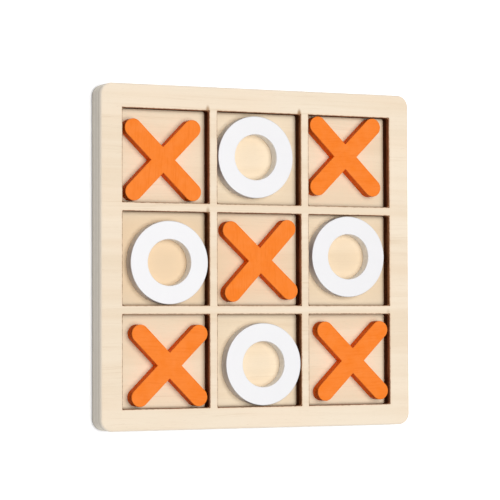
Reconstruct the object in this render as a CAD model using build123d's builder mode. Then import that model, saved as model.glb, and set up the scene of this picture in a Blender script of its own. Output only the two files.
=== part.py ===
"""Tic tac toe set: a two-layer plywood board with nine square cells, five X pieces and four O pieces.

Frame: the board lies flat with +Z up, and the origin is the centre of its underside.
X runs along a row of cells, from left to right, and Y runs up a column of cells.
All lengths are in millimetres.
"""

import os
from math import sqrt

from build123d import *

os.makedirs("parts", exist_ok=True)

# Board: a solid base sheet with a window grid glued flush on top of it.
board_side = 140.5
board_corner_radius = 4.8
base_thickness = 5.7
grid_thickness = 5.3
board_edge_ease = 0.8

# Cells: square windows cut through the grid sheet, three by three.
# The block of nine sits slightly low in the board, so the upper border is the wider one.
cells_per_side = 3
cell_side = 38.2
bar_width = 3.6
cell_corner_radius = 1.0
cell_edge_ease = 0.2
cell_pitch = cell_side + bar_width
cells_offset_y = -0.5

# Playing pieces: both shapes are cut from one sheet with the same stroke width.
piece_thickness = 5.0
stroke_width = 7.5
x_across = 33.3
o_diameter = 34.0
piece_edge_ease = 0.3

# Each X arm runs between two round ends whose centres lie on the piece's diagonals.
x_arm_between_end_centres = (x_across - stroke_width) * sqrt(2)
x_arm_length = x_arm_between_end_centres + stroke_width
o_hole_diameter = o_diameter - 2 * stroke_width

# Where each piece lies on its cell floor: name, column and row counted from the centre cell,
# then how far it has slid from the cell's centre along X and Y, and its turn in degrees.
# A cell leaves each piece about 2 mm of free play on every side.
x_places = [
    ("x_piece_top_left", -1, 1, -1.2, -1.7, 0.5),
    ("x_piece_top_right", 1, 1, -1.5, 2.0, 0.0),
    ("x_piece_centre", 0, 0, 0.5, -0.5, 2.0),
    ("x_piece_bottom_left", -1, -1, 1.55, -1.7, -0.4),
    ("x_piece_bottom_right", 1, -1, 1.6, -0.6, 0.3),
]
o_places = [
    ("o_piece_top", 0, 1, -1.5, 0.6),
    ("o_piece_left", -1, 0, 1.5, -1.6),
    ("o_piece_right", 1, 0, -0.4, 1.5),
    ("o_piece_bottom", 0, -1, 1.8, -1.6),
]


def cell_floor_plane(column, row, slide_x, slide_y, turn=0.0):
    """The plane on a cell's floor that a piece rests on, centred and turned with the piece."""
    centre_x = column * cell_pitch + slide_x
    centre_y = row * cell_pitch + cells_offset_y + slide_y
    centre = (centre_x, centre_y, base_thickness)
    return Plane(origin=centre).rotated((0, 0, turn))


# Base sheet: closes the underside of every cell. Its lower edge is sanded round.
with BuildPart() as base_board:
    with BuildSketch(Plane.XY):
        RectangleRounded(board_side, board_side, board_corner_radius)
    extrude(amount=base_thickness)
    underside_edges = base_board.faces().sort_by(Axis.Z)[0].edges()
    fillet(underside_edges, board_edge_ease)
base_board.part.label = "base_board"
export_step(base_board.part, "parts/base_board.step")

# Grid sheet: the border and the four bars, with nine windows cut through it.
# The rim of the sheet is sanded round, and the cut leaves the windows' top edges slightly eased.
with BuildPart() as grid_frame:
    with BuildSketch(Plane.XY.offset(base_thickness)):
        RectangleRounded(board_side, board_side, board_corner_radius)
    extrude(amount=grid_thickness)
    top_rim_edges = grid_frame.faces().sort_by(Axis.Z)[-1].edges()
    fillet(top_rim_edges, board_edge_ease)
    with BuildSketch(Plane(origin=(0, cells_offset_y, base_thickness))):
        with GridLocations(cell_pitch, cell_pitch, cells_per_side, cells_per_side):
            RectangleRounded(cell_side, cell_side, cell_corner_radius)
    extrude(amount=grid_thickness, mode=Mode.SUBTRACT)
    face_with_windows = grid_frame.faces().sort_by(Axis.Z)[-1]
    window_edges = [edge for wire in face_with_windows.inner_wires() for edge in wire.edges()]
    fillet(window_edges, cell_edge_ease)
grid_frame.part.label = "grid_frame"
export_step(grid_frame.part, "parts/grid_frame.step")

# X pieces: two round-ended arms crossing at right angles, lying along the cell's diagonals.
for name, column, row, slide_x, slide_y, turn in x_places:
    with BuildPart() as x_piece:
        with BuildSketch(cell_floor_plane(column, row, slide_x, slide_y, turn)):
            SlotOverall(x_arm_length, stroke_width, rotation=45)
            SlotOverall(x_arm_length, stroke_width, rotation=-45)
        extrude(amount=piece_thickness)
        flat_faces = x_piece.faces().filter_by(Axis.Z)
        fillet(flat_faces.edges(), piece_edge_ease)
    x_piece.part.label = name
    export_step(x_piece.part, f"parts/{name}.step")

# O pieces: flat rings with a round hole.
for name, column, row, slide_x, slide_y in o_places:
    with BuildPart() as o_piece:
        with BuildSketch(cell_floor_plane(column, row, slide_x, slide_y)):
            Circle(o_diameter / 2)
            Circle(o_hole_diameter / 2, mode=Mode.SUBTRACT)
        extrude(amount=piece_thickness)
        flat_faces = o_piece.faces().filter_by(Axis.Z)
        fillet(flat_faces.edges(), piece_edge_ease)
    o_piece.part.label = name
    export_step(o_piece.part, f"parts/{name}.step")
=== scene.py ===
from math import radians

import bpy
from mathutils import Matrix, Vector

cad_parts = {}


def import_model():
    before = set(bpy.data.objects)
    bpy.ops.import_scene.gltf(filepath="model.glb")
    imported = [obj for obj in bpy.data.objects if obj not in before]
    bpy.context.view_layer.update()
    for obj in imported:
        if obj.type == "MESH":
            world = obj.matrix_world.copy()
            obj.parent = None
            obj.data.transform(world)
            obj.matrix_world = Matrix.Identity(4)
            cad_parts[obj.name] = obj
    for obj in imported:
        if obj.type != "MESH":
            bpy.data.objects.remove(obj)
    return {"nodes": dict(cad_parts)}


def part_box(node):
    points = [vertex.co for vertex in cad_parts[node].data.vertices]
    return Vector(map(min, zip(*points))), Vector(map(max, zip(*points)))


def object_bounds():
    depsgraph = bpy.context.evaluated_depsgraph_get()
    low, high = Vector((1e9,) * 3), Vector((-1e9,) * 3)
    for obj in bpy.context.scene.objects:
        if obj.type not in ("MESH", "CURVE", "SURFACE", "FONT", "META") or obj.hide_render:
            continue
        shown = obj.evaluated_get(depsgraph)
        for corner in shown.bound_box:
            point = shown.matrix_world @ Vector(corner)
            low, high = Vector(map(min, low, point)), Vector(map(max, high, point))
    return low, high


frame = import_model()
cad_low, cad_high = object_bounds()

# ---------------------------------------------------------------------------------------------
# Measures, in millimetres: heights are read from the frame, and the rest are the set's own sizes
# ---------------------------------------------------------------------------------------------

MM = 1000.0

SEAM_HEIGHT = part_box("base_board")[1].z * MM
FACE_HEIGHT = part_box("grid_frame")[1].z * MM

# The cells are open squares with narrow bars between them.
# The block of nine sits slightly low in the board.
CELL_HALF = 19.1
CELL_PITCH = 41.8
CELLS_MIDDLE = (0.0, -0.5)

# Each sheet is plywood of five plies.
PLIES = 5
PLY = (FACE_HEIGHT - SEAM_HEIGHT) / PLIES

# The round hole in an O piece.
O_HOLE_RADIUS = 9.5

# How deep each finish's relief is.
WOOD_RELIEF = 0.03
ORANGE_RELIEF = 0.025
WHITE_RELIEF = 0.018

# ---------------------------------------------------------------------------------------------
# Colours, in linear light
# ---------------------------------------------------------------------------------------------


def linear(red, green, blue):
    """A colour in linear light, as the shader sockets take it."""
    return (red, green, blue, 1.0)


WHITE = linear(1.0, 1.0, 1.0)

# The sanded faces of the two sheets
BASE_VENEER_PALE = linear(0.80, 0.67, 0.50)
BASE_VENEER_DEEP = linear(0.755, 0.615, 0.44)
GRID_VENEER_PALE = linear(0.82, 0.705, 0.56)
GRID_VENEER_DEEP = linear(0.77, 0.64, 0.485)
HEARTWOOD = linear(0.735, 0.555, 0.365)
VENEER_BLUSH = linear(0.86, 0.62, 0.43)
FIBRE = linear(0.62, 0.47, 0.31)
NAP = linear(0.60, 0.46, 0.32)
PORE = linear(0.42, 0.29, 0.17)

# What the cutting beam left round the windows; on the cell floors, painted shade next to the walls as well
# as soot
SOOT_AND_SHADE_ON_FLOOR = linear(0.36, 0.22, 0.12)
SMUDGE = linear(0.34, 0.19, 0.085)
SCORCH_HALO = linear(0.80, 0.48, 0.26)
SCORCHED_RIM = linear(0.15, 0.068, 0.028)

# The sanded edge round the outside of the board
LONG_GRAIN_DEEP = linear(0.52, 0.480, 0.42)
LONG_GRAIN_PALE = linear(0.68, 0.632, 0.558)
END_GRAIN_DEEP = linear(0.44, 0.400, 0.345)
END_GRAIN_PALE = linear(0.62, 0.572, 0.498)
EDGE_FRONT_AND_BACK = linear(0.80, 0.74, 0.64)
EDGE_GLUE = linear(0.40, 0.35, 0.29)
# Painted shade along the bottom of the base sheet's edge, where a contact shadow falls
EDGE_FOOT_PAINTED_SHADE = linear(0.32, 0.30, 0.27)
EDGE_UNDERSIDE_PAINTED_SHADE = linear(0.15, 0.14, 0.13)
EDGE_BROW = linear(0.44, 0.36, 0.28)
EDGE_CREST = linear(0.79, 0.69, 0.57)

# The scorched window walls, from the cell's floor up to the lip
CHAR_DEEP = linear(0.032, 0.0070, 0.0006)
CHAR_PALE = linear(0.088, 0.0210, 0.0030)
BURNT_DEEP = linear(0.15, 0.055, 0.020)
BURNT_PALE = linear(0.33, 0.130, 0.052)
TOASTED = linear(0.60, 0.250, 0.110)
WALL_LIP = linear(0.74, 0.44, 0.26)
WALL_END_GRAIN = linear(0.05, 0.014, 0.004)
WALL_GLUE = linear(0.020, 0.006, 0.002)
WALL_LINE = linear(0.020, 0.007, 0.003)

# Orange paint
ORANGE_DEEP = linear(0.835, 0.175, 0.004)
ORANGE_PALE = linear(0.885, 0.255, 0.053)
ORANGE_STREAK = linear(0.73, 0.125, 0.001)
ORANGE_NAP = linear(0.78, 0.10, 0.003)
# Paint worn thin on the eased edges, with a painted highlight along them
ORANGE_EDGE_WEAR_AND_HIGHLIGHT = linear(0.93, 0.25, 0.04)
# The upright sides: a deeper orange where the paint soaks into the plies, raised in red as painted light
# against their shade
ORANGE_SIDE_PAINTED_LIGHT = linear(0.95, 0.150, 0.0)
ORANGE_SIDE_PLY_PAINTED_LIGHT = linear(0.84, 0.105, 0.0)

# White paint
WHITE_DEEP = linear(0.750, 0.745, 0.760)
WHITE_PALE = linear(0.785, 0.775, 0.785)
WHITE_STREAK = linear(0.70, 0.695, 0.70)
WHITE_EDGE = linear(0.72, 0.70, 0.66)
# Painted light: the upright sides, outside and in the hole, are paler than the top to make up for their
# shade; the plies show faintly through
WHITE_OUTER_SIDE_PAINTED_LIGHT = linear(0.93, 0.91, 0.91)
WHITE_HOLE_SIDE_PAINTED_LIGHT = linear(0.90, 0.89, 0.88)
WHITE_SIDE_PLY_PAINTED_LIGHT = linear(0.82, 0.80, 0.79)

# ---------------------------------------------------------------------------------------------
# A small writer of shader nodes
# ---------------------------------------------------------------------------------------------


class Shader:
    """One material's node tree. Most methods add a node or two and return an output socket."""

    def __init__(self, name):
        self.material = bpy.data.materials.new(name)
        self.material.use_nodes = True
        self.tree = self.material.node_tree
        self.surface = self.tree.nodes["Principled BSDF"]

    def feed(self, socket, value):
        """Links a socket to an output, or sets its value."""
        if isinstance(value, bpy.types.NodeSocket):
            self.tree.links.new(value, socket)
        else:
            socket.default_value = value

    def node(self, kind, inputs=None, **settings):
        """A new node, with its settings and its inputs by name or number."""
        node = self.tree.nodes.new(kind)
        for name, value in settings.items():
            setattr(node, name, value)
        for key, value in (inputs or {}).items():
            self.feed(node.inputs[key], value)
        return node

    def math(self, operation, *values):
        """A number worked out from one, two or three numbers."""
        inputs = dict(enumerate(values))
        return self.node("ShaderNodeMath", inputs, operation=operation).outputs[0]

    def times(self, first, second):
        """The product of two numbers."""
        return self.math("MULTIPLY", first, second)

    def size(self, number):
        """A number without its sign."""
        return self.math("ABSOLUTE", number)

    def vector(self, operation, *values):
        """A vector worked out from one or two vectors."""
        inputs = dict(enumerate(values))
        return self.node("ShaderNodeVectorMath", inputs, operation=operation).outputs[0]

    def length(self, vector):
        """How long a vector is."""
        return self.node("ShaderNodeVectorMath", {0: vector}, operation="LENGTH").outputs["Value"]

    def scaled(self, place, along_x, along_y, along_z):
        """A place stretched by three factors. Before a noise, they are its features per millimetre."""
        return self.vector("MULTIPLY", place, (along_x, along_y, along_z))

    def join(self, x, y, z):
        """A vector from its three numbers."""
        return self.node("ShaderNodeCombineXYZ", {0: x, 1: y, 2: z}).outputs[0]

    def split(self, vector):
        """The three numbers of a vector."""
        return self.node("ShaderNodeSeparateXYZ", {0: vector}).outputs

    def rise(self, value, start, end):
        """A smooth step: 0 at start and 1 at end, which may be the lower one."""
        low, high = min(start, end), max(start, end)
        to_low, to_high = (0.0, 1.0) if end > start else (1.0, 0.0)
        inputs = {"Value": value, "From Min": low, "From Max": high, "To Min": to_low, "To Max": to_high}
        return self.node("ShaderNodeMapRange", inputs, interpolation_type="SMOOTHSTEP").outputs[0]

    def spread(self, value, low, high):
        """A number from 0 to 1, spread evenly from low to high."""
        inputs = {"Value": value, "To Min": low, "To Max": high}
        return self.node("ShaderNodeMapRange", inputs).outputs[0]

    def noise(self, place, detail, roughness, seed):
        """Soft noise, about 0.5 on average, with features one unit across and finer detail in them."""
        inputs = {"Vector": place, "W": seed, "Scale": 1.0, "Detail": detail, "Roughness": roughness}
        return self.node("ShaderNodeTexNoise", inputs, noise_dimensions="4D").outputs[0]

    def mix_number(self, share, first, second):
        """A number between two others."""
        return self.node("ShaderNodeMix", {0: share, 2: first, 3: second}, data_type="FLOAT").outputs[0]

    def mix(self, share, first, second):
        """A colour between two others."""
        return self.node("ShaderNodeMix", {0: share, 6: first, 7: second}, data_type="RGBA").outputs[2]

    def tint(self, color, where, strength, other):
        """A colour moved towards another one: by the strength where the mask is 1, and not where it is 0."""
        return self.mix(self.times(where, strength), color, other)

    def relief(self, grain, nap, nap_share):
        """A surface's height, from 0 to 1: its grain, and a share of fine nap."""
        return self.math("MULTIPLY_ADD", nap, nap_share, self.times(grain, 1.0 - nap_share))

    def finish(self, color, roughness, specular, height, depth):
        """Feeds the surface: height, from 0 to 1, stands for a relief of that many millimetres."""
        bump = self.node("ShaderNodeBump", {"Height": height, "Distance": depth / MM, "Strength": 1.0})
        self.surface.inputs["Specular IOR Level"].default_value = specular
        self.feed(self.surface.inputs["Base Color"], color)
        self.feed(self.surface.inputs["Roughness"], roughness)
        self.feed(self.surface.inputs["Normal"], bump.outputs[0])
        return self.material


def place_of(shader):
    """Where a point is when the set is at rest, in millimetres in the shared frame."""
    coordinates = shader.node("ShaderNodeTexCoord").outputs["Object"]
    return shader.vector("MULTIPLY", coordinates, (MM, MM, MM))


def normal_of(shader):
    """The x, y and z of the surface's direction, without its bump."""
    coordinates = shader.node("ShaderNodeTexCoord").outputs["Normal"]
    return shader.split(coordinates)


# ---------------------------------------------------------------------------------------------
# Bare plywood: figure, sanded faces and sanded outer edges
# ---------------------------------------------------------------------------------------------


def wood_figure(shader, place, seed):
    """Straight basswood grain along X: growth bands, fibres, fine nap and pores, each 0 to 1."""
    drift = shader.noise(shader.scaled(place, 0.014, 0.05, 0.05), 1.0, 0.5, seed)
    sideways = shader.join(0.0, shader.times(drift, 5.0), 0.0)
    bent = shader.vector("ADD", place, sideways)
    bands = shader.noise(shader.scaled(bent, 0.006, 0.13, 0.13), 3.0, 0.6, seed + 1)
    fibres = shader.noise(shader.scaled(bent, 0.035, 1.6, 1.6), 4.0, 0.65, seed + 2)
    nap = shader.noise(shader.scaled(bent, 0.35, 9.0, 9.0), 2.0, 0.6, seed + 3)
    pore_noise = shader.noise(shader.scaled(bent, 0.4, 5.5, 5.5), 1.0, 0.5, seed + 4)
    pores = shader.rise(pore_noise, 0.66, 0.74)
    return bands, fibres, nap, pores


def veneer_color(shader, place, figure, pale, deep, blushing, seed):
    """A sanded face between a pale and a deep tone, with its fibres in clusters and a faint warm blush."""
    bands, fibres, nap, pores = figure
    cluster_noise = shader.noise(shader.scaled(place, 0.008, 0.09, 0.09), 1.0, 0.5, seed)
    clusters = shader.rise(cluster_noise, 0.4, 0.65)
    fibre_depth = shader.times(shader.rise(fibres, 0.52, 0.72), shader.spread(clusters, 0.15, 0.6))
    blush_noise = shader.noise(shader.scaled(place, 0.03, 0.07, 0.07), 2.0, 0.5, seed + 1)
    blush = shader.rise(blush_noise, 0.4, 0.65)
    color = shader.mix(shader.rise(bands, 0.35, 0.65), pale, deep)
    color = shader.tint(color, blush, blushing, VENEER_BLUSH)
    color = shader.tint(color, fibre_depth, 0.8, FIBRE)
    color = shader.tint(color, shader.rise(nap, 0.45, 0.75), 0.10, NAP)
    return shader.tint(color, pores, 0.16, PORE)


def ply_layers(shader, height_above_sheet, faces_x):
    """How far a point on a cut edge is in end grain, and how near it is to a glue line, each 0 to 1."""
    layer = shader.math("DIVIDE", height_above_sheet, PLY)
    odd = shader.math("MODULO", shader.math("FLOOR", layer), 2.0)
    end_grain = shader.size(shader.math("SUBTRACT", odd, faces_x))
    to_glue = shader.math("PINGPONG", layer, 0.5)
    glue = shader.rise(to_glue, 0.07, 0.02)
    return end_grain, glue


def outer_edge_color(shader, place, normal, sheet_bottom):
    """The sanded edge round the outside of a sheet, and how near each point is to a glue line."""
    height = shader.math("SUBTRACT", shader.split(place)[2], sheet_bottom)
    faces_x = shader.rise(shader.size(normal[0]), 0.3, 0.9)
    faces_y = shader.rise(shader.size(normal[1]), 0.2, 0.9)
    end_grain, glue = ply_layers(shader, height, faces_x)
    streaks = shader.noise(shader.scaled(place, 0.25, 0.25, 2.6), 4.0, 0.65, 11.0)
    specks = shader.noise(shader.scaled(place, 3.5, 3.5, 5.0), 2.0, 0.6, 12.0)
    long_side = shader.mix(streaks, LONG_GRAIN_DEEP, LONG_GRAIN_PALE)
    end_side = shader.mix(specks, END_GRAIN_DEEP, END_GRAIN_PALE)
    color = shader.mix(end_grain, long_side, end_side)
    color = shader.tint(color, faces_y, 0.5, EDGE_FRONT_AND_BACK)
    return shader.tint(color, glue, 0.35, EDGE_GLUE), glue


# ---------------------------------------------------------------------------------------------
# The base sheet
# ---------------------------------------------------------------------------------------------


def window_gaps(shader, place):
    """Along X and along Y, millimetres from the nearest cell's side: below 0 inside the cell."""
    gaps = []
    for number, middle in zip(shader.split(place), CELLS_MIDDLE):
        number = shader.math("SUBTRACT", number, middle)
        column = shader.math("ROUND", shader.math("DIVIDE", number, CELL_PITCH))
        column = shader.math("MAXIMUM", shader.math("MINIMUM", column, 1.0), -1.0)
        from_centre = shader.math("SUBTRACT", number, shader.times(column, CELL_PITCH))
        gaps.append(shader.math("SUBTRACT", shader.size(from_centre), CELL_HALF))
    return gaps


def heartwood_share(shader, place):
    """A broad darker band through the middle of the base sheet, fainter to the right, 0 to 1."""
    x, y, _ = shader.split(place)
    wander = shader.noise(shader.scaled(place, 0.02, 0.06, 0.0), 2.0, 0.5, 27.0)
    from_middle = shader.size(shader.math("ADD", y, shader.spread(wander, -8.0, 8.0)))
    across = shader.rise(from_middle, 26.0, 10.0)
    along = shader.spread(shader.rise(x, 12.0, -32.0), 0.3, 1.0)
    return shader.times(across, along)


def base_plywood():
    """The base sheet: warm veneer with a band of heartwood, soot and painted shade next to the walls, and a
    sanded edge with painted shade at its foot.
    """
    shader = Shader("base_plywood")
    place = place_of(shader)
    normal = normal_of(shader)
    figure = wood_figure(shader, place, seed=20.0)
    _, fibres, nap, _ = figure

    tones = (BASE_VENEER_PALE, BASE_VENEER_DEEP)
    veneer = veneer_color(shader, place, figure, *tones, blushing=0.05, seed=25.0)
    veneer = shader.tint(veneer, heartwood_share(shader, place), 0.85, HEARTWOOD)
    to_wall = shader.times(shader.math("MAXIMUM", *window_gaps(shader, place)), -1.0)
    # Soot and painted shade on the cell floor, darkest right next to the walls.
    veneer = shader.tint(veneer, shader.rise(to_wall, 0.9, 0.2), 0.45, SOOT_AND_SHADE_ON_FLOOR)

    edge, glue = outer_edge_color(shader, place, normal, 0.0)
    height = shader.split(place)[2]
    # Painted shade: the edge darkens towards the floor, most of all in its lowest millimetre.
    edge = shader.tint(edge, shader.rise(height, 2.3, 1.5), 0.35, EDGE_FOOT_PAINTED_SHADE)
    edge = shader.tint(edge, shader.rise(height, 1.3, 0.7), 0.8, EDGE_UNDERSIDE_PAINTED_SHADE)

    flat = shader.rise(shader.size(normal[2]), 0.90, 0.97)
    color = shader.mix(flat, edge, veneer)
    relief = shader.math("SUBTRACT", shader.relief(fibres, nap, nap_share=0.4), shader.times(glue, 0.3))
    roughness = shader.spread(fibres, 0.62, 0.78)
    return shader.finish(color, roughness, specular=0.15, height=relief, depth=WOOD_RELIEF)


# ---------------------------------------------------------------------------------------------
# The window grid
# ---------------------------------------------------------------------------------------------

# Where the cutting beam went in, it left a smudge above a window's right corner:
# the window's column and row, and how strong the smudge is.
SMUDGES = [(-1, 1, 0.8), (0, 1, 1.0), (-1, 0, 0.6), (1, -1, 0.3)]

# From a window's back right corner to the middle of its smudge.
SMUDGE_OFFSET = (-0.7, 0.3)


def smudges(shader, place):
    """The smoke smudges on the grid sheet's face, 0 to 1."""
    total = 0.0
    for column, row, strength in SMUDGES:
        middle_x = CELLS_MIDDLE[0] + column * CELL_PITCH + CELL_HALF + SMUDGE_OFFSET[0]
        middle_y = CELLS_MIDDLE[1] + row * CELL_PITCH + CELL_HALF + SMUDGE_OFFSET[1]
        offset = shader.vector("SUBTRACT", place, (middle_x, middle_y, FACE_HEIGHT))
        reach = shader.length(shader.scaled(offset, 0.8, 0.38, 0.0))
        spot = shader.times(shader.rise(reach, 1.0, 0.2), strength)
        total = shader.math("ADD", total, spot)
    return total


def window_distance(shader, place):
    """Millimetres from a point outside the windows to the nearest window's edge, and 0 inside one."""
    beyond = [shader.math("MAXIMUM", gap, 0.0) for gap in window_gaps(shader, place)]
    squares = [shader.times(gap, gap) for gap in beyond]
    return shader.math("SQRT", shader.math("ADD", *squares))


def charred_wall(shader, place, normal):
    """The window walls, charred by the cut and browner towards a toasted lip, with faint plies and
    upright lines. The second result is the noise that draws the upright lines, 0 to 1.
    """
    height = shader.math("SUBTRACT", shader.split(place)[2], SEAM_HEIGHT)
    faces_x = shader.rise(shader.size(normal[0]), 0.4, 0.8)
    end_grain, glue = ply_layers(shader, height, faces_x)
    patches = shader.noise(shader.scaled(place, 0.12, 0.12, 0.5), 3.0, 0.6, 41.0)
    streaks = shader.noise(shader.scaled(place, 0.5, 0.5, 4.5), 3.0, 0.6, 42.0)
    striations = shader.noise(shader.scaled(place, 3.4, 3.4, 0.25), 3.0, 0.6, 43.0)

    # The height at which the char turns brown wanders along the wall.
    level = shader.math("ADD", height, shader.spread(patches, -1.2, 1.2))
    level = shader.math("ADD", level, shader.spread(striations, -0.7, 0.7))
    char = shader.mix(streaks, CHAR_DEEP, CHAR_PALE)
    burnt = shader.mix(streaks, BURNT_DEEP, BURNT_PALE)
    color = shader.mix(shader.rise(level, 2.6, 3.5), char, burnt)
    color = shader.mix(shader.rise(level, 3.9, 5.0), color, TOASTED)
    color = shader.tint(color, end_grain, 0.3, WALL_END_GRAIN)
    color = shader.tint(color, glue, 0.5, WALL_GLUE)
    lip = shader.times(shader.rise(height, 4.7, 5.2), shader.spread(patches, 0.4, 0.9))
    color = shader.mix(lip, color, WALL_LIP)
    color = shader.tint(color, shader.rise(striations, 0.45, 0.7), 0.4, WALL_LINE)
    return color, striations


def grid_plywood():
    """The grid sheet: a pale sanded face, scorched window walls and a sanded edge outside."""
    shader = Shader("grid_plywood")
    place = place_of(shader)
    normal = normal_of(shader)
    figure = wood_figure(shader, place, seed=30.0)
    _, fibres, nap, _ = figure

    distance = window_distance(shader, place)
    wander = shader.noise(shader.scaled(place, 0.7, 0.7, 0.7), 2.0, 0.6, 36.0)
    rim = shader.rise(shader.math("ADD", distance, shader.spread(wander, -0.2, 0.2)), 0.34, 0.10)
    tones = (GRID_VENEER_PALE, GRID_VENEER_DEEP)
    veneer = veneer_color(shader, place, figure, *tones, blushing=0.10, seed=35.0)
    veneer = shader.tint(veneer, shader.rise(distance, 1.4, 0.2), 0.12, SCORCH_HALO)
    veneer = shader.tint(veneer, smudges(shader, place), 0.9, SMUDGE)
    veneer = shader.mix(rim, veneer, SCORCHED_RIM)

    edge, _ = outer_edge_color(shader, place, normal, SEAM_HEIGHT)
    height = shader.split(place)[2]
    brow = shader.times(shader.rise(height, 7.4, 8.0), shader.rise(height, 9.4, 8.8))
    edge = shader.tint(edge, brow, 0.2, EDGE_BROW)
    edge = shader.tint(edge, shader.rise(height, 9.5, 10.6), 0.8, EDGE_CREST)

    wall, striations = charred_wall(shader, place, normal)
    inner = shader.rise(distance, 1.0, 0.5)
    side = shader.mix(inner, edge, wall)
    flat = shader.rise(normal[2], 0.70, 0.96)
    color = shader.mix(flat, side, veneer)
    on_wall = shader.times(inner, shader.math("SUBTRACT", 1.0, flat))
    relief = shader.math("ADD", shader.relief(fibres, nap, nap_share=0.4), shader.times(on_wall, striations))
    roughness = shader.mix_number(on_wall, shader.spread(fibres, 0.60, 0.76), 1.0)
    return shader.finish(color, roughness, specular=0.08, height=relief, depth=WOOD_RELIEF)


# ---------------------------------------------------------------------------------------------
# The painted playing pieces
# ---------------------------------------------------------------------------------------------


def piece_place(shader, node, grain_turn):
    """Where a point is from the middle of its piece, in millimetres, with X along the piece's grain."""
    low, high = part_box(node)
    middle = (low + high) / 2 * MM
    offset = shader.vector("SUBTRACT", place_of(shader), tuple(middle))
    inputs = {"Vector": offset, "Angle": radians(-grain_turn)}
    return shader.node("ShaderNodeVectorRotate", inputs, rotation_type="Z_AXIS").outputs[0]


def eased_edge(shader, normal):
    """How far a point is on an eased edge, between a flat face and a side, 0 to 1."""
    tilt = shader.size(normal[2])
    return shader.times(shader.rise(tilt, 0.15, 0.45), shader.rise(tilt, 0.98, 0.75))


def upright_side(shader, normal):
    """How far a point is on a piece's upright side, 0 to 1."""
    return shader.rise(shader.size(normal[2]), 0.5, 0.2)


def side_grain(shader, place, seed):
    """How much the plies show through the thinner paint on a piece's side, 0 to 1."""
    streaks = shader.noise(shader.scaled(place, 0.3, 0.3, 2.4), 3.0, 0.65, seed)
    return shader.rise(streaks, 0.42, 0.68)


def orange_paint(node, grain_turn, seed):
    """Thin orange paint on plywood: the grain shows as fine darker streaks."""
    shader = Shader("orange_paint_" + node)
    place = piece_place(shader, node, grain_turn)
    normal = normal_of(shader)
    waves = shader.noise(shader.scaled(place, 0.05, 0.5, 0.5), 2.0, 0.5, seed)
    streaks = shader.noise(shader.scaled(place, 0.14, 1.9, 1.9), 3.0, 0.6, seed + 1)
    nap = shader.noise(shader.scaled(place, 0.8, 8.0, 8.0), 2.0, 0.6, seed + 2)
    mottle = shader.noise(shader.scaled(place, 0.22, 0.22, 0.22), 3.0, 0.6, seed + 3)

    streak_depth = shader.times(shader.rise(streaks, 0.45, 0.70), shader.spread(waves, 0.2, 1.0))
    color = shader.mix(mottle, ORANGE_DEEP, ORANGE_PALE)
    color = shader.tint(color, streak_depth, 0.5, ORANGE_STREAK)
    color = shader.tint(color, shader.rise(nap, 0.5, 0.8), 0.15, ORANGE_NAP)
    # Paint worn thin on the eased edge, and a painted highlight along it.
    color = shader.tint(color, eased_edge(shader, normal), 0.35, ORANGE_EDGE_WEAR_AND_HIGHLIGHT)
    # The sides: a deeper orange with the plies showing, raised in red as painted light against their shade.
    side = shader.mix(side_grain(shader, place, seed + 4), ORANGE_SIDE_PAINTED_LIGHT, ORANGE_SIDE_PLY_PAINTED_LIGHT)
    color = shader.tint(color, upright_side(shader, normal), 0.95, side)

    relief = shader.relief(streaks, nap, nap_share=0.4)
    roughness = shader.spread(streaks, 0.46, 0.60)
    return shader.finish(color, roughness, specular=0.04, height=relief, depth=ORANGE_RELIEF)


def white_paint(node, grain_turn, seed):
    """Smooth white paint on plywood, with the faintest grain."""
    shader = Shader("white_paint_" + node)
    place = piece_place(shader, node, grain_turn)
    normal = normal_of(shader)
    streaks = shader.noise(shader.scaled(place, 0.12, 1.9, 1.9), 3.0, 0.6, seed)
    nap = shader.noise(shader.scaled(place, 1.5, 6.0, 6.0), 2.0, 0.6, seed + 1)
    mottle = shader.noise(shader.scaled(place, 0.10, 0.10, 0.10), 2.0, 0.5, seed + 2)

    color = shader.mix(mottle, WHITE_DEEP, WHITE_PALE)
    color = shader.tint(color, shader.rise(streaks, 0.5, 0.8), 0.12, WHITE_STREAK)
    color = shader.tint(color, eased_edge(shader, normal), 0.10, WHITE_EDGE)
    from_middle = shader.length(shader.scaled(place, 1.0, 1.0, 0.0))
    in_hole = shader.rise(from_middle, O_HOLE_RADIUS + 2.0, O_HOLE_RADIUS + 1.0)
    # Painted light: the upright sides, outside and in the hole, are paler than the top to make up for their
    # shade.
    side = shader.mix(in_hole, WHITE_OUTER_SIDE_PAINTED_LIGHT, WHITE_HOLE_SIDE_PAINTED_LIGHT)
    side = shader.tint(side, side_grain(shader, place, seed + 3), 0.3, WHITE_SIDE_PLY_PAINTED_LIGHT)
    color = shader.tint(color, upright_side(shader, normal), 0.97, side)

    relief = shader.relief(streaks, nap, nap_share=0.5)
    roughness = shader.spread(streaks, 0.38, 0.50)
    return shader.finish(color, roughness, specular=0.4, height=relief, depth=WHITE_RELIEF)


# ---------------------------------------------------------------------------------------------
# Finishes on the CAD nodes
# ---------------------------------------------------------------------------------------------


def paint_over(node, material):
    """Gives a CAD node one material for all of its faces."""
    slots = frame["nodes"][node].data.materials
    slots.clear()
    slots.append(material)


# The direction of each piece's grain, in degrees from X. The pieces are cut from sheets that
# lay either way round.
X_GRAIN = {
    "x_piece_top_left": 88.0,
    "x_piece_top_right": 2.0,
    "x_piece_centre": 92.0,
    "x_piece_bottom_left": -2.0,
    "x_piece_bottom_right": 3.0,
}
O_GRAIN = {
    "o_piece_top": 4.0,
    "o_piece_left": 90.0,
    "o_piece_right": -20.0,
    "o_piece_bottom": 60.0,
}

# Each piece's noises have seeds of their own, this far from the next piece's.
FIRST_X_SEED = 50.0
FIRST_O_SEED = 90.0
SEED_STEP = 7

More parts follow.
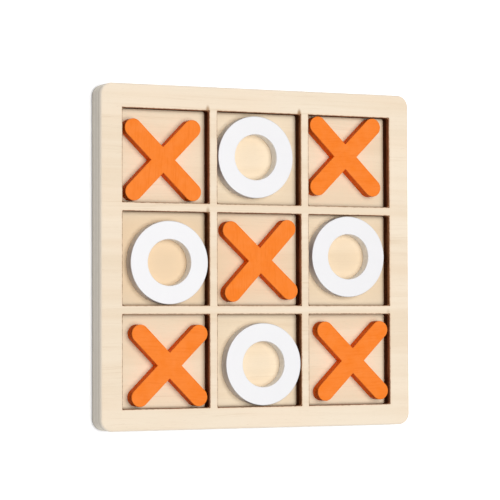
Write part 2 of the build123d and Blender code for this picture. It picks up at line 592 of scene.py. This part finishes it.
paint_over("base_board", base_plywood())
paint_over("grid_frame", grid_plywood())
for number, (node, turn) in enumerate(X_GRAIN.items()):
    paint_over(node, orange_paint(node, turn, FIRST_X_SEED + SEED_STEP * number))
for number, (node, turn) in enumerate(O_GRAIN.items()):
    paint_over(node, white_paint(node, turn, FIRST_O_SEED + SEED_STEP * number))

# ---------------------------------------------------------------------------------------------
# Floor, light and camera, in metres
# ---------------------------------------------------------------------------------------------

FLOOR_HALF = 4.0
FLOOR_BELOW_BOARD = 0.00005
FLOOR_GLOW = 0.35

# The light from all round falls from one strength at the horizon to another above it.
# The heights are of a direction of length 1.
HORIZON_LIGHT = 0.85
LIGHT_ABOVE = 0.12
HORIZON_HEIGHTS = (0.08, 0.30)

SOFTBOX_PLACE = (0.05, 0.02, 1.3)
SOFTBOX_SIZE = 1.0
SOFTBOX_POWER = 18.9

CAMERA_PLACE = Vector((-375.3, -25.5, 817.4)) / MM
CAMERA_AIM = Vector((-4.486, 3.337, FACE_HEIGHT)) / MM
CAMERA_ROLL = radians(-0.175)
CAMERA_LENS = 154.6
CAMERA_SENSOR = 36.0


def floor():
    """A wide, plain, pale floor that the board lies on."""
    mesh = bpy.data.meshes.new("floor")
    half = FLOOR_HALF
    corners = [(-half, -half, 0), (half, -half, 0), (half, half, 0), (-half, half, 0)]
    mesh.from_pydata(corners, [], [(0, 1, 2, 3)])
    plane = bpy.data.objects.new("floor", mesh)
    bpy.context.scene.collection.objects.link(plane)
    plane.location.z = cad_low.z - FLOOR_BELOW_BOARD
    material = bpy.data.materials.new("floor")
    material.use_nodes = True
    surface = material.node_tree.nodes["Principled BSDF"]
    surface.inputs["Base Color"].default_value = linear(0.9, 0.9, 0.9)
    surface.inputs["Roughness"].default_value = 1.0
    surface.inputs["Specular IOR Level"].default_value = 0.0
    surface.inputs["Emission Color"].default_value = WHITE
    surface.inputs["Emission Strength"].default_value = FLOOR_GLOW
    mesh.materials.append(material)


def world():
    """Even light from all round: pale at the horizon, dimmer above."""
    background = bpy.data.worlds.new("studio")
    background.use_nodes = True
    tree = background.node_tree
    surface = tree.nodes["Background"]
    direction = tree.nodes.new("ShaderNodeTexCoord")
    parts = tree.nodes.new("ShaderNodeSeparateXYZ")
    height = tree.nodes.new("ShaderNodeMapRange")
    height.interpolation_type = "SMOOTHSTEP"
    height.inputs["From Min"].default_value = HORIZON_HEIGHTS[0]
    height.inputs["From Max"].default_value = HORIZON_HEIGHTS[1]
    height.inputs["To Min"].default_value = HORIZON_LIGHT
    height.inputs["To Max"].default_value = LIGHT_ABOVE
    tree.links.new(direction.outputs["Generated"], parts.inputs[0])
    tree.links.new(parts.outputs["Z"], height.inputs["Value"])
    tree.links.new(height.outputs[0], surface.inputs["Strength"])
    surface.inputs["Color"].default_value = WHITE
    bpy.context.scene.world = background


def softbox():
    """A large soft light overhead that faces the board. No camera sees it."""
    light = bpy.data.lights.new("overhead", "AREA")
    light.shape = "DISK"
    light.size = SOFTBOX_SIZE
    light.energy = SOFTBOX_POWER
    lamp = bpy.data.objects.new("overhead", light)
    bpy.context.scene.collection.objects.link(lamp)
    lamp.location = SOFTBOX_PLACE
    target = (cad_low + cad_high) / 2
    lamp.rotation_euler = (Vector(SOFTBOX_PLACE) - target).to_track_quat("Z", "Y").to_euler()
    lamp.visible_camera = False


def camera():
    """A long lens to the left of the board and a little below its middle, rolled very slightly."""
    lens = bpy.data.cameras.new("camera")
    lens.lens = CAMERA_LENS
    lens.sensor_width = CAMERA_SENSOR
    lens.clip_start = 0.05
    lens.clip_end = 20.0
    seen_from = bpy.data.objects.new("camera", lens)
    bpy.context.scene.collection.objects.link(seen_from)
    forward = (CAMERA_AIM - CAMERA_PLACE).normalized()
    right = forward.cross(Vector((0, 1, 0))).normalized()
    up = right.cross(forward)
    upright = Matrix((right, up, -forward)).transposed().to_4x4()
    roll = Matrix.Rotation(CAMERA_ROLL, 4, "Z")
    seen_from.matrix_world = Matrix.Translation(CAMERA_PLACE) @ upright @ roll
    bpy.context.scene.camera = seen_from


floor()
world()
softbox()
camera()
bpy.context.scene.view_settings.view_transform = "Standard"
